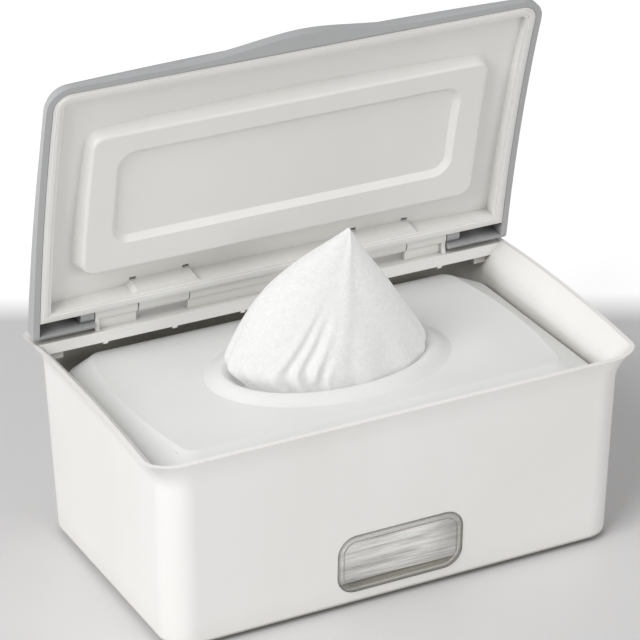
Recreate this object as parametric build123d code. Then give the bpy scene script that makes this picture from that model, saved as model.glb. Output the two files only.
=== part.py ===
# Wipes dispenser: a moulded tub with a window and a hinged lid. Inside it a weighted plate
# rests on a stack of folded wipes, and one wipe stands up through the oval hole in the plate.
# Millimetres, +Z up, the front of the tub towards -Y. The origin is the middle of the
# footprint, on the surface that the feet stand on. The lid is drawn closed and turned open.
from build123d import *
from math import asin, cos, degrees, hypot, pi, sin
import os

# tub
RIM_LENGTH = 240.0          # over the rim, left to right
RIM_DEPTH = 142.0           # over the rim, front to back
RIM_Z_FRONT = 92.3          # height of the rim at the front edge
RIM_RISE_MIDDLE = 5.4       # the arched side rims are this much higher halfway back
RIM_RISE_BACK = 3.9         # and the back edge this much
SIDE_FLARE = 8.1            # how far the side rims swing out over the walls
SIDE_FLARE_HEIGHT = 15.5    # the cove under the side rims
END_FLARE = 1.6             # the slight cove under the front and back rims
END_FLARE_HEIGHT = 12.0
SIDE_DRAFT = 1.4            # how far each wall leans in from its flare down to the bottom
FRONT_DRAFT = 2.3
BACK_DRAFT = 6.9
TUB_CORNER = 13.0           # radius of the upright corners
TUB_FOOT_ROUND = 3.0        # radius round the bottom edge
WALL = 2.2
FLOOR = 3.0
SIDE_SWING_DEPTH = 10.0     # how far below the table the side faces are drawn before they are cut
STAND = 1.5                 # the tub's floor is held this far above the table

# feet
FOOT_RADIUS = 8.0
FOOT_THICKNESS = 3.0
FOOT_FROM_END = 20.0
FOOT_FROM_SIDE = 18.0

# window
WINDOW_LENGTH = 62.0
WINDOW_HEIGHT = 28.6
WINDOW_CORNER = 9.0
WINDOW_CENTRE_Z = 22.1
WINDOW_BAND = 3.0           # width of the pane's raised edge
WINDOW_PROUD = 0.7          # how far that edge stands out of the wall
WINDOW_DISH = 0.9           # depth of the clear field behind the raised edge
WINDOW_FLANGE = 2.6         # how far the inner flange reaches past the opening
FLANGE_THICKNESS = 1.4
WINDOW_SEAL = 0.8
WINDOW_GAP = 0.3

# hinge
HINGE_FROM_BACK = 14.5      # from the rim's back edge forwards to the hinge
HINGE_RISE = 8.6            # over the back rim
BARREL_RADIUS = 4.2
PIN_RADIUS = 1.5
PIN_FIT = 0.01              # pin held in the rail
RUNNING_FIT = 0.06          # lid turning on the pin
KNUCKLE_FROM_RIB = 33.5     # from the end rib in to the knuckle's middle
KNUCKLE_LENGTH = 24.6
END_GAP = 0.5               # side play beside each knuckle and boss
EAR_LENGTH = 31.0           # from the lid's end in to the rail's end rib
RIB_THICKNESS = 2.0
BOSS_LENGTH = 6.6
PIN_INSET = 8.0             # how far a pin enters the middle barrel
OPEN_ANGLE = 79.4           # from closed to the stop

# hinge rail
RAIL_REACH = 5.5            # its front face lies this far in front of the hinge
RAIL_DROP = 8.0             # its shelf lies this far under the hinge
RAIL_HEIGHT = 5.4
RAIL_SKIN = 2.2
RAIL_RIB = 2.2
RAIL_RIB_PITCH = 34.0
RAIL_RIB_COUNT = 6
RAIL_RIB_DROP = 0.9         # the ribs show as small nubs under the front face
RIB_HOLLOW = 0.9            # depth of the curved front of each end rib
WEB_THICKNESS = 3.4
SEAT_LENGTH = 5.0           # moulded seats in the tub that carry the rail's ends
SEAT_HEIGHT = 4.0

# lid shell
LID_GAP = 0.6               # between the rim and the closed lid
LID_BACK = 4.6              # the lid ends this far behind the hinge
LID_FRONT_HEIGHT = 6.4      # of its upper edge over the rim, at the front
LID_MIDDLE_HEIGHT = 9.1
LID_BACK_HEIGHT = 11.8
LID_CROWN = 3.6             # the middle of the lid is this much higher than its side edges
LID_WALL = 2.2
LID_SKIN = 1.8
LID_CORNER = 11.0
BEAD_STEP = 1.2             # the wall stands back this far above the edge bead
BEAD_HEIGHT = 3.2
LID_EDGE_ROUND = 2.2
GRIP_LENGTH = 112.0
GRIP_REACH = 5.0
GRIP_THICKNESS = 4.6

# lid liner
LINER_INSET = 3.0           # from the lid's outer edge to the liner
BARREL_CLEARANCE = 0.4      # from the hinge barrel to the liner's back wall
LINER_RIM = 4.8             # width of the flat sealing rim
LINER_RIM_BACK = 4.2        # and along the hinge
LINER_WALL = 2.0
LINER_SKIN = 1.4
SKIN_GAP = 0.2
ISLAND_FROM_END = 13.8      # from the liner's outline in to the island
ISLAND_FROM_FRONT = 20.4
ISLAND_FROM_BACK = 14.9
ISLAND_CORNER = 12.0
ISLAND_PROUD = 0.5          # below the liner's rim when the lid is closed
ISLAND_SLOPE = 36.0
ISLAND_ROUND = 1.6
PANEL_FROM_END = 18.5       # from the island's outline in to the sunk panel
PANEL_FROM_FRONT = 17.0
PANEL_FROM_BACK = 19.6
PANEL_CORNER = 9.0
PANEL_DEPTH = 2.3
PANEL_SLOPE = 2.8           # width of the panel's sloped sides
TAB_LENGTH = 32.8
TAB_DEPTH = 2.2
TAB_START = 1.2             # distance from the sealing rim to the tab
SLOT_LENGTH = 3.2
SLOT_WIDTH = 1.3
TAB_BEVEL = 0.9             # share of the tab's depth that its upright edges lean back

# lid seal
SEAL_WIDTH = 1.8
SEAL_FROM_EDGE = 1.4
SEAL_GROOVE = 1.4
SEAL_PROUD = 0.5

# weighted plate
PLATE_END_GAP = 3.7         # from the tub's inside to the plate
PLATE_FRONT_GAP = 7.2
PLATE_BACK_GAP = 9.2
PLATE_CORNER = 15.0
PLATE_UNDER_RAIL = 5.8      # from the rail's nubs down to the flat top
PLATE_SHOULDER = 4.9        # height of the sloped shoulders
PLATE_SKIRT = 6.3
PLATE_WALL = 2.0
PLATEAU_FROM_END = 9.0      # from the plate's outline in to the flat top, halfway back
PLATEAU_BOW = 5.5           # the flat top's ends draw in this far towards its corners
PLATEAU_FROM_FRONT = 12.5
PLATEAU_FROM_BACK = 2.5
PLATEAU_CORNER = 6.0
HOLE_LENGTH = 88.0          # throat of the dispensing hole
HOLE_WIDTH = 50.0
FUNNEL_REACH = 6.5          # from the throat out to the crest
CREST_HEIGHT = 2.8          # above the plateau
RIDGE_REACH = 8.0           # from the crest down to the plateau
RIDGE_TOE_OUT = 0.30        # shares of the reach and of the height along the ridge's slope
RIDGE_TOE_UP = 0.35
RIDGE_HEAD_OUT = 0.65
RIDGE_HEAD_UP = 0.82
FUNNEL_LOW_OUT = 0.18       # the same for the funnel, from its throat up
FUNNEL_LOW_UP = 0.45
FUNNEL_HIGH_OUT = 0.50
FUNNEL_HIGH_UP = 0.80
COVER_THICKNESS = 1.8
COVER_GAP = 0.25
WEIGHT_LENGTH = 34.0
WEIGHT_WIDTH = 84.0
WEIGHT_THICKNESS = 4.2
WEIGHT_CORNER = 5.0
WEIGHT_FROM_END = 12.0      # from the plate's end in to the weight
WEIGHT_RIB = 1.6

# wipes
STACK_LENGTH = 190.0
STACK_WIDTH = 110.0
STACK_CORNER = 5.0
STACK_LAYERS = 13
LAYER_ROUND = 1.5
REST_GAP = 0.3              # between soft pieces and what they lie on
WIPE_APEX_X = 10.0
WIPE_RISE = 60.5            # of the peak over the crest of the hole
WIPE_LEAN = 5.5             # how far the cloth leans to the left halfway up
WIPE_FROM_CREST_END = 2.5   # the cloth stays this far inside the crest at its ends
WIPE_FROM_CREST_SIDE = 5.5  # and at the front and back
WIPE_SLACK = 4.0            # between the cloth and the throat of the hole
WIPE_FOLDS = 9
WIPE_FOLD_DEPTH = 3.0
WIPE_RINGS = 7              # outlines from the crest of the hole up to the peak
WIPE_TIP = 0.985            # the last outline is this share of the way up

# sizes and places that follow from these
HALF_DEPTH = RIM_DEPTH / 2
RIM_Z_MIDDLE = RIM_Z_FRONT + RIM_RISE_MIDDLE
RIM_Z_BACK = RIM_Z_FRONT + RIM_RISE_BACK
WAIST_LENGTH = RIM_LENGTH - 2 * SIDE_FLARE           # over the walls where the flare begins
BASE_LENGTH = WAIST_LENGTH - 2 * SIDE_DRAFT          # and at the bottom
WAIST_BACK_Y = HALF_DEPTH - END_FLARE
BASE_FRONT_Y = FRONT_DRAFT - WAIST_BACK_Y
BASE_BACK_Y = WAIST_BACK_Y - BACK_DRAFT
INSIDE_LENGTH = WAIST_LENGTH - 2 * WALL
INSIDE_BACK_Y = WAIST_BACK_Y - WALL
HINGE_Y = HALF_DEPTH - HINGE_FROM_BACK
HINGE_Z = RIM_Z_BACK + HINGE_RISE
RIB_OUTER_X = RIM_LENGTH / 2 - EAR_LENGTH
KNUCKLE_CENTRE_X = RIB_OUTER_X - KNUCKLE_FROM_RIB
RAIL_FRONT_Y = HINGE_Y - RAIL_REACH
RAIL_TOP_Z = HINGE_Z - RAIL_DROP
LID_TOP_BACK = RIM_Z_BACK + LID_BACK_HEIGHT
LINER_BACK_Y = HINGE_Y - BARREL_RADIUS - BARREL_CLEARANCE
LINER_EDGE = LINER_INSET + SKIN_GAP                  # from the lid's outer edge to the liner's own
LINER_LENGTH = RIM_LENGTH - 2 * LINER_EDGE
LINER_FRONT_Y = LINER_EDGE - HALF_DEPTH
TRAY_BACK_Y = LINER_BACK_Y - LINER_RIM_BACK
ISLAND_LENGTH = LINER_LENGTH - 2 * ISLAND_FROM_END
ISLAND_FRONT_Y = LINER_FRONT_Y + ISLAND_FROM_FRONT
ISLAND_BACK_Y = LINER_BACK_Y - ISLAND_FROM_BACK
PANEL_LENGTH = ISLAND_LENGTH - 2 * PANEL_FROM_END
PANEL_FRONT_Y = ISLAND_FRONT_Y + PANEL_FROM_FRONT
PANEL_BACK_Y = ISLAND_BACK_Y - PANEL_FROM_BACK
PLATE_LENGTH = INSIDE_LENGTH - 2 * PLATE_END_GAP
PLATE_FRONT_Y = PLATE_FRONT_GAP - INSIDE_BACK_Y
PLATE_BACK_Y = INSIDE_BACK_Y - PLATE_BACK_GAP
PLATE_MIDDLE_Y = (PLATE_FRONT_Y + PLATE_BACK_Y) / 2
PLATE_TOP_Z = RAIL_TOP_Z - RAIL_HEIGHT - RAIL_RIB_DROP - PLATE_UNDER_RAIL
PLATE_EDGE_Z = PLATE_TOP_Z - PLATE_SHOULDER
PLATE_BOTTOM_Z = PLATE_EDGE_Z - PLATE_SKIRT
THROAT_TOP_Z = (PLATE_BOTTOM_Z + PLATE_TOP_Z) / 2
CREST_Z = PLATE_TOP_Z + CREST_HEIGHT
WEIGHT_BOTTOM_Z = PLATE_BOTTOM_Z + COVER_THICKNESS
WEIGHT_CENTRE_X = PLATE_LENGTH / 2 - WEIGHT_FROM_END - WEIGHT_LENGTH / 2

PARTS = "parts"


def circle_through(a, b, c):
    """Centre and radius of the circle through three (y, z) points."""
    (ax, ay), (bx, by), (cx, cy) = a, b, c
    d = 2 * (ax * (by - cy) + bx * (cy - ay) + cx * (ay - by))
    sa, sb, sc = ax * ax + ay * ay, bx * bx + by * by, cx * cx + cy * cy
    y = (sa * (by - cy) + sb * (cy - ay) + sc * (ay - by)) / d
    z = (sa * (cx - bx) + sb * (ax - cx) + sc * (bx - ax)) / d
    return y, z, hypot(ax - y, ay - z)


RIM_ARC = circle_through((-HALF_DEPTH, RIM_Z_FRONT), (0, RIM_Z_MIDDLE), (HALF_DEPTH, RIM_Z_BACK))
LID_BACK_Y = HINGE_Y + LID_BACK
TOP_ARC = circle_through(
    (-HALF_DEPTH, RIM_Z_FRONT + LID_FRONT_HEIGHT),
    (0, RIM_Z_MIDDLE + LID_MIDDLE_HEIGHT),
    (LID_BACK_Y, LID_TOP_BACK),
)
LID_STACK = LID_SKIN + SKIN_GAP + LINER_SKIN
LID_LOW_Z = RIM_Z_FRONT - 3 * LID_GAP        # the closed lid lies between these two heights
LID_HIGH_Z = LID_TOP_BACK + 2 * LID_CROWN
OVER_LID = LID_HIGH_Z - RIM_Z_FRONT          # rise over the rim that clears the closed lid


def rounded_prism(length, front, back, corner, low, high, taper=0.0):
    """Upright block with rounded corners."""
    plan = Pos(0, (front + back) / 2, low) * RectangleRounded(length, back - front, corner)
    return extrude(plan, high - low, taper=taper)


def arched_band(arc, low, high):
    """Everything between two heights above an arched edge, at any x."""
    cy, cz, radius = arc
    ring = Plane.YZ.offset(-RIM_LENGTH) * Pos(cy, cz) * (Circle(radius + high) - Circle(radius + low))
    return extrude(ring, 2 * RIM_LENGTH)


def rod(radius, x0, x1, y=HINGE_Y, z=HINGE_Z):
    """Round bar along X between two places."""
    return Pos((x0 + x1) / 2, y, z) * Rot(0, 90, 0) * Cylinder(radius, abs(x1 - x0))


def block(x0, x1, y0, y1, z0, z1):
    """Plain block between six planes."""
    return Pos((x0 + x1) / 2, (y0 + y1) / 2, (z0 + z1) / 2) * Box(abs(x1 - x0), y1 - y0, z1 - z0)


def mirrored(shape):
    """The shape and its copy on the other side of the middle."""
    return shape + mirror(shape, Plane.YZ)


# tub

def cove(waist, rim):
    """Middle point of a cove that leaves the wall upright and swings outwards."""
    reach, height = abs(rim[0] - waist[0]), rim[1] - waist[1]
    side = 1 if rim[0] > waist[0] else -1
    radius = (height**2 + reach**2) / (2 * reach)
    turn = asin(height / radius)
    return waist[0] + side * radius * (1 - cos(turn / 2)), waist[1] + radius * sin(turn / 2)


def side_faces(inset):
    """Block between the left and right faces: a straight draft, then a cove along the arch."""
    cy, cz, radius = RIM_ARC
    base_x, waist_x, rim_x = (size / 2 - inset for size in (BASE_LENGTH, WAIST_LENGTH, RIM_LENGTH))
    waist, rim = (waist_x, radius - SIDE_FLARE_HEIGHT), (rim_x, radius)
    middle = cove(waist, rim)
    drop = RIM_Z_MIDDLE + SIDE_SWING_DEPTH
    draft = (waist_x - base_x) / (RIM_Z_MIDDLE - SIDE_FLARE_HEIGHT)
    low = (waist_x - draft * (drop - SIDE_FLARE_HEIGHT), radius - drop)

    def at(point, side=1):
        return (side * point[0], cy, cz + point[1])

    edges = [Line(at(low, -1), at(low)), Line(at(rim), at(rim, -1))]
    for side in (1, -1):
        edges.append(Line(at(low, side), at(waist, side)))
        edges.append(ThreePointArc(at(waist, side), at(middle, side), at(rim, side)))
    hub = Axis((0, cy, cz), (1, 0, 0))
    swing = degrees(RIM_DEPTH / radius)
    return revolve(make_face(Wire(edges)).rotate(hub, -swing), hub, 2 * swing)


def end_faces(inset):
    """Block between the front and back faces, each with a slight cove under its rim."""
    ceiling = RIM_Z_MIDDLE + 1

    def at(y, z):
        return (-RIM_LENGTH, y, z)

    edges = []
    for side, foot_y, rim_z in ((-1, BASE_FRONT_Y, RIM_Z_FRONT), (1, BASE_BACK_Y, RIM_Z_BACK)):
        foot = (foot_y - side * inset, 0)
        waist = (side * (WAIST_BACK_Y - inset), rim_z - END_FLARE_HEIGHT)
        rim = (side * (HALF_DEPTH - inset), rim_z)
        edges.append(Line(at(*foot), at(*waist)))
        edges.append(ThreePointArc(at(*waist), at(*cove(waist, rim)), at(*rim)))
        edges.append(Line(at(*rim), at(rim[0], ceiling)))
    foot_ys = (BASE_FRONT_Y + inset, BASE_BACK_Y - inset)
    edges.append(Line(at(foot_ys[0], 0), at(foot_ys[1], 0)))
    edges.append(Line(at(inset - HALF_DEPTH, ceiling), at(HALF_DEPTH - inset, ceiling)))
    return extrude(make_face(Wire(edges)), 2 * RIM_LENGTH, dir=(1, 0, 0))


def tub_form(inset, floor):
    """The tub's outside, or with an inset its inside, as a solid."""
    form = side_faces(inset) & end_faces(inset)
    form &= block(-RIM_LENGTH, RIM_LENGTH, -RIM_DEPTH, RIM_DEPTH, floor, 2 * RIM_Z_MIDDLE)
    for side in (-1, 1):
        for end in (-1, 1):
            uprights = [
                edge
                for edge in form.edges()
                if side * edge.center().X > BASE_LENGTH / 2 - 3 * WALL
                and end * edge.center().Y > BASE_BACK_Y - 3 * WALL
                and edge.bounding_box().size.Z > 1
            ]
            form = fillet(uprights, TUB_CORNER - inset)
    return form


def wall_place():
    """Plane on the outside of the front wall at the window's middle, facing outwards."""
    rise = RIM_Z_FRONT - END_FLARE_HEIGHT
    lean = FRONT_DRAFT / rise
    y = BASE_FRONT_Y - lean * WINDOW_CENTRE_Z
    return Plane(origin=(0, y, WINDOW_CENTRE_Z), x_dir=(1, 0, 0), z_dir=(0, -1, -lean))


def window_slab(grow, low, high):
    """Window-shaped slab between two depths measured outwards from the wall's outside."""
    length, height = WINDOW_LENGTH + 2 * grow, WINDOW_HEIGHT + 2 * grow
    outline = RectangleRounded(length, height, WINDOW_CORNER + grow)
    return extrude(wall_place().offset(low) * outline, high - low)


def foot_places():
    """Middle of each foot."""
    x = BASE_LENGTH / 2 - FOOT_FROM_END
    for name, side in (("left", -1), ("right", 1)):
        yield f"foot_front_{name}", side * x, BASE_FRONT_Y + FOOT_FROM_SIDE
        yield f"foot_back_{name}", side * x, BASE_BACK_Y - FOOT_FROM_SIDE


def foot(x, y, grow=0.0):
    """Rubber disc let into the underside of the tub."""
    pad = Pos(x, y, FOOT_THICKNESS / 2) * Cylinder(FOOT_RADIUS + grow, FOOT_THICKNESS)
    return pad if grow else chamfer(pad.faces().sort_by(Axis.Z)[0].edges(), STAND / 3)


def rail_seats(inside):
    """Shelves on the side walls under the rail's ends."""
    top = RAIL_TOP_Z - RAIL_HEIGHT
    start, end = INSIDE_LENGTH / 2 - SEAT_LENGTH, RIM_LENGTH / 2
    front, back = RAIL_FRONT_Y + RAIL_SKIN, INSIDE_BACK_Y
    seat = block(start, end, front, back, top - SEAT_HEIGHT, top)
    return mirrored(seat & inside)


def make_tub(outside, inside):
    """White shell with coved rims, a window opening, rail seats and pockets for the feet."""
    underside = outside.faces().sort_by(Axis.Z)[0]
    tub = fillet(underside.outer_wire().edges(), TUB_FOOT_ROUND) - inside
    tub += rail_seats(inside)
    tub -= window_slab(0, -4 * WALL, WALL)
    for _, x, y in foot_places():
        tub -= foot(x, y, PIN_FIT)
    return tub


def make_window_pane():
    """Clear pane with a raised edge, pushed in from the inside as far as its flange."""
    fit = -WINDOW_GAP
    seat = -WALL - WINDOW_SEAL
    pane = window_slab(fit, seat, WINDOW_PROUD)
    pane = chamfer(pane.faces().sort_by(Axis.Y)[0].edges(), WINDOW_PROUD)
    pane += window_slab(WINDOW_FLANGE, seat - FLANGE_THICKNESS, seat)
    return pane - window_slab(-WINDOW_BAND, WINDOW_PROUD - WINDOW_DISH, 2 * WALL)


def make_window_seal():
    """Flat ring between the pane's flange and the wall."""
    seat = -WALL - WINDOW_SEAL
    return window_slab(WINDOW_FLANGE - WINDOW_GAP, seat, -WALL) - window_slab(0, seat, -WALL)


# hinge

KNUCKLE_HALF = KNUCKLE_LENGTH / 2
BOSS_INNER_X = RIB_OUTER_X + END_GAP
PIN_START_X = KNUCKLE_CENTRE_X - KNUCKLE_HALF - END_GAP - PIN_INSET
PIN_END_X = BOSS_INNER_X + BOSS_LENGTH - END_GAP


def make_rail(inside):
    """Shelf across the back with the hinge barrel, its web and the two end ribs."""
    top, low = RAIL_TOP_Z, RAIL_TOP_Z - RAIL_HEIGHT
    shelf = inside & block(-RIM_LENGTH, RIM_LENGTH, RAIL_FRONT_Y, RIM_DEPTH, low, top)
    hollow_back = INSIDE_BACK_Y - WALL - RAIL_SKIN
    end = INSIDE_LENGTH / 2 - SEAT_LENGTH
    rail = shelf - block(-end, end, RAIL_FRONT_Y + RAIL_SKIN, hollow_back, low, top - RAIL_SKIN)
    start = -RAIL_RIB_PITCH * (RAIL_RIB_COUNT - 1) / 2
    for number in range(RAIL_RIB_COUNT):
        x0 = start + number * RAIL_RIB_PITCH - RAIL_RIB / 2
        rail += block(x0, x0 + RAIL_RIB, RAIL_FRONT_Y, hollow_back, low - RAIL_RIB_DROP, top - RAIL_SKIN)
    knuckle_in = KNUCKLE_CENTRE_X - KNUCKLE_HALF - END_GAP
    knuckle_out = KNUCKLE_CENTRE_X + KNUCKLE_HALF + END_GAP
    web_y = HINGE_Y - WEB_THICKNESS / 2
    for x0, x1 in ((-knuckle_in, knuckle_in), (knuckle_out, RIB_OUTER_X), (-knuckle_out, -RIB_OUTER_X)):
        rail += rod(BARREL_RADIUS, x0, x1)
        rail += block(min(x0, x1), max(x0, x1), web_y, web_y + WEB_THICKNESS, top - RAIL_SKIN, HINGE_Z)
    rail += mirrored(make_end_rib())
    return rail - mirrored(rod(PIN_RADIUS + PIN_FIT, PIN_START_X, RIB_OUTER_X + 1))


def make_end_rib():
    """Hooked rib that closes the end of the barrel."""
    foot_z = RAIL_TOP_Z - RAIL_SKIN / 2
    back = HINGE_Y + BARREL_RADIUS
    front = HINGE_Y - BARREL_RADIUS
    middle_z = (HINGE_Z + foot_z) / 2
    x = RIB_OUTER_X - RIB_THICKNESS
    outline = [
        Line((x, front, foot_z), (x, back, foot_z)),
        Line((x, back, foot_z), (x, back, HINGE_Z)),
        ThreePointArc((x, back, HINGE_Z), (x, HINGE_Y, HINGE_Z + BARREL_RADIUS), (x, front, HINGE_Z)),
        ThreePointArc((x, front, HINGE_Z), (x, front + RIB_HOLLOW, middle_z), (x, front, foot_z)),
    ]
    return extrude(make_face(Wire(outline)), RIB_THICKNESS, dir=(1, 0, 0))


def make_pin(side):
    """Steel hinge pin, pressed into the rail and carrying the lid's knuckle and boss."""
    pin = rod(PIN_RADIUS, PIN_START_X + END_GAP, PIN_END_X)
    pin = chamfer(pin.edges().filter_by(GeomType.CIRCLE), PIN_RADIUS / 4)
    return pin if side > 0 else mirror(pin, Plane.YZ)


# lid, drawn closed

def lid_outline(inset, back):
    """Upright block with the lid's plan, square at the back and rounded at the front."""
    half, front = RIM_LENGTH / 2 - inset, inset - HALF_DEPTH
    form = block(-half, half, front, back, LID_LOW_Z, LID_HIGH_Z)
    uprights = form.edges().filter_by(Axis.Z).group_by(Axis.Y)[0]
    return fillet(uprights, LID_CORNER - inset)


def crowned_space(below):
    """Everything under the lid's doubly curved top, or under a surface a little lower."""
    cy, cz, radius = TOP_ARC
    reach = RIM_LENGTH / 2 + LID_CORNER
    crown_radius = ((RIM_LENGTH / 2) ** 2 + LID_CROWN**2) / (2 * LID_CROWN)
    crest = radius + LID_CROWN - below
    shoulder = crest - (crown_radius - (crown_radius**2 - reach**2) ** 0.5)

    def at(x, r):
        return (x, cy, cz + r)

    floor = radius - RIM_Z_FRONT
    edges = [
        ThreePointArc(at(-reach, shoulder), at(0, crest), at(reach, shoulder)),
        Line(at(reach, shoulder), at(reach, floor)),
        Line(at(reach, floor), at(-reach, floor)),
        Line(at(-reach, floor), at(-reach, shoulder)),
    ]
    hub = Axis((0, cy, cz), (1, 0, 0))
    swing = degrees(RIM_DEPTH / radius)
    return revolve(make_face(Wire(edges)).rotate(hub, -swing), hub, 2 * swing)


def opened(shape):
    """Turn a piece of the lid from closed to the stop."""
    return shape.rotate(Axis((0, HINGE_Y, HINGE_Z), (1, 0, 0)), -OPEN_ANGLE)


def make_grip():
    """Arched lip that stands out of the lid's front edge for the fingers."""
    half, front = GRIP_LENGTH / 2, -HALF_DEPTH
    z = RIM_Z_FRONT + LID_GAP
    base = front + LID_WALL
    edges = [
        Line((-half, base, z), (-half, front, z)),
        Spline(
            (-half, front, z),
            (0, front - GRIP_REACH, z),
            (half, front, z),
            tangents=[(1, 0, 0), (1, 0, 0)],
        ),
        Line((half, front, z), (half, base, z)),
        Line((half, base, z), (-half, base, z)),
    ]
    return extrude(make_face(Wire(edges)), GRIP_THICKNESS, dir=(0, 0, 1))


def make_lid_shell():
    """Grey outer shell: crowned top, coved edge bead, finger grip, hinge ears and bosses."""
    edge = lid_outline(0, LID_BACK_Y) & arched_band(RIM_ARC, LID_GAP, LID_GAP + BEAD_HEIGHT)
    body = lid_outline(BEAD_STEP, LID_BACK_Y) & crowned_space(0)
    body = round_top(body & arched_band(RIM_ARC, LID_GAP, OVER_LID))
    hollow = lid_outline(LINER_INSET, LID_BACK_Y - LID_WALL) & crowned_space(LID_SKIN)
    shell = edge + body + make_grip() - hollow
    start, end = BOSS_INNER_X, BOSS_INNER_X + BOSS_LENGTH
    shell -= block(-start, start, LINER_BACK_Y, RIM_DEPTH, LID_LOW_Z, LID_HIGH_Z)
    front, back = HINGE_Y - BARREL_RADIUS, LID_BACK_Y - LID_WALL / 2
    boss = block(start, end, front, back, HINGE_Z, LID_TOP_BACK) & crowned_space(LID_SKIN / 2)
    shell += mirrored(boss + rod(BARREL_RADIUS, start, end))
    shell -= mirrored(rod(PIN_RADIUS + RUNNING_FIT, start - END_GAP, PIN_END_X + END_GAP / 2))
    return shell - ear_clearance()


def round_top(body):
    """Round the upper edge of the lid's body."""
    roof = body.faces().sort_by(Axis.Z)[-1]
    edges = [edge for edge in roof.edges() if edge.center().Y < LINER_BACK_Y]
    return fillet(edges, LID_EDGE_ROUND)


def ear_clearance():
    """Space that the rail's shelf needs under the lid's back corners while the lid turns."""
    clear = HINGE_Z - RAIL_TOP_Z - LID_GAP / 2
    swept = rod(RIM_DEPTH / 2, -RIM_LENGTH, RIM_LENGTH) - rod(clear, -RIM_LENGTH, RIM_LENGTH)
    return swept & block(-RIM_LENGTH, RIM_LENGTH, HINGE_Y, RIM_DEPTH, LID_LOW_Z, HINGE_Z)


def lid_prism(length, front, back, corner):
    """Upright block with rounded corners, as high as the closed lid."""
    return rounded_prism(length, front, back, corner, LID_LOW_Z, LID_HIGH_Z)


def make_liner():
    """White inner tray of the lid with its sealing rim, raised island, panel, tabs and knuckles."""
    above_rim = arched_band(RIM_ARC, LID_GAP, OVER_LID)
    under_skin = crowned_space(LID_SKIN + SKIN_GAP)
    body = lid_outline(LINER_EDGE, LINER_BACK_Y) & above_rim
    body -= lid_outline(LINER_EDGE + LINER_RIM, TRAY_BACK_Y) & crowned_space(LID_STACK)
    body += make_island()
    body += mirrored(make_tab() & arched_band(RIM_ARC, LID_GAP + TAB_START, OVER_LID))
    body += mirrored(make_knuckle() & above_rim)
    body = (body & under_skin) - island_hollow()
    for side in (-1, 1):
        x = KNUCKLE_CENTRE_X + side * (TAB_LENGTH / 2 - SLOT_LENGTH)
        y = TRAY_BACK_Y - TAB_DEPTH
        slot = block(x - SLOT_LENGTH / 2, x + SLOT_LENGTH / 2, y - SLOT_WIDTH, y, LID_LOW_Z, LID_HIGH_Z)
        body -= mirrored(slot)
    body -= seal_ring(0, SEAL_GROOVE)
    return body - mirrored(rod(PIN_RADIUS + RUNNING_FIT, PIN_START_X, RIB_OUTER_X))


def island_form(inset):
    """The island with its sloped sides, before its face is cut."""
    low, high = LID_LOW_Z, LID_HIGH_Z
    length, width = ISLAND_LENGTH - 2 * inset, ISLAND_BACK_Y - ISLAND_FRONT_Y - 2 * inset
    plan = RectangleRounded(length, width, ISLAND_CORNER - inset)
    place = Pos(0, (ISLAND_FRONT_Y + ISLAND_BACK_Y) / 2, high)
    return extrude(place * plan, high - low, dir=(0, 0, -1), taper=ISLAND_SLOPE / 2)


ISLAND_RISE = LID_GAP - ISLAND_PROUD         # the island's face over the tub's rim
PANEL_RISE = ISLAND_RISE + PANEL_DEPTH


def panel_form(grow):
    """Block with the sunk panel's sloped sides, square to the island's arched face."""
    cy, cz, radius = RIM_ARC
    middle = (PANEL_FRONT_Y + PANEL_BACK_Y) / 2 - cy
    up = (0, middle, (radius**2 - middle**2) ** 0.5)
    face = Plane(origin=(0, cy, cz), x_dir=(1, 0, 0), z_dir=up).offset(radius + ISLAND_RISE)
    rings = []
    for step in (-1, 2):                     # from in front of the face to well behind it
        out = grow - step * PANEL_SLOPE
        length, width = PANEL_LENGTH + 2 * out, PANEL_BACK_Y - PANEL_FRONT_Y + 2 * out
        rings.append(face.offset(step * PANEL_DEPTH) * RectangleRounded(length, width, PANEL_CORNER + out))
    return loft(rings, ruled=True)


def make_island():
    """Raised part of the tray with a sunk panel in its middle."""
    face = island_form(0) & arched_band(RIM_ARC, ISLAND_RISE, OVER_LID)
    face = fillet(face.faces().sort_by(Axis.Z)[0].edges(), ISLAND_ROUND)
    return face - (panel_form(0) & arched_band(RIM_ARC, -PANEL_DEPTH, PANEL_RISE))


def island_hollow():
    """Space behind the island's face, open towards the lid's shell."""
    hollow = island_form(LINER_SKIN) & arched_band(RIM_ARC, ISLAND_RISE + LINER_SKIN, OVER_LID)
    return hollow - (panel_form(2 * LINER_SKIN) & arched_band(RIM_ARC, 0, PANEL_RISE + LINER_SKIN))


def make_tab():
    """Wedge on the tray's back wall above a knuckle."""
    back = LINER_BACK_Y - LINER_WALL / 2
    x = KNUCKLE_CENTRE_X
    front = TRAY_BACK_Y - TAB_DEPTH
    tab = block(x - TAB_LENGTH / 2, x + TAB_LENGTH / 2, front, back, LID_LOW_Z, LID_HIGH_Z)
    return chamfer(tab.edges().filter_by(Axis.Z).group_by(Axis.Y)[0], TAB_DEPTH * TAB_BEVEL)


def make_knuckle():
    """Lid knuckle round the hinge pin with its arm to the tray's back wall."""
    x0, x1 = KNUCKLE_CENTRE_X - KNUCKLE_HALF, KNUCKLE_CENTRE_X + KNUCKLE_HALF
    barrel = rod(BARREL_RADIUS, x0, x1)
    low, high = HINGE_Z - BARREL_RADIUS, HINGE_Z + LINER_WALL / 2
    return barrel + block(x0, x1, LINER_BACK_Y - LINER_WALL / 2, HINGE_Y, low, high)


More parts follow.
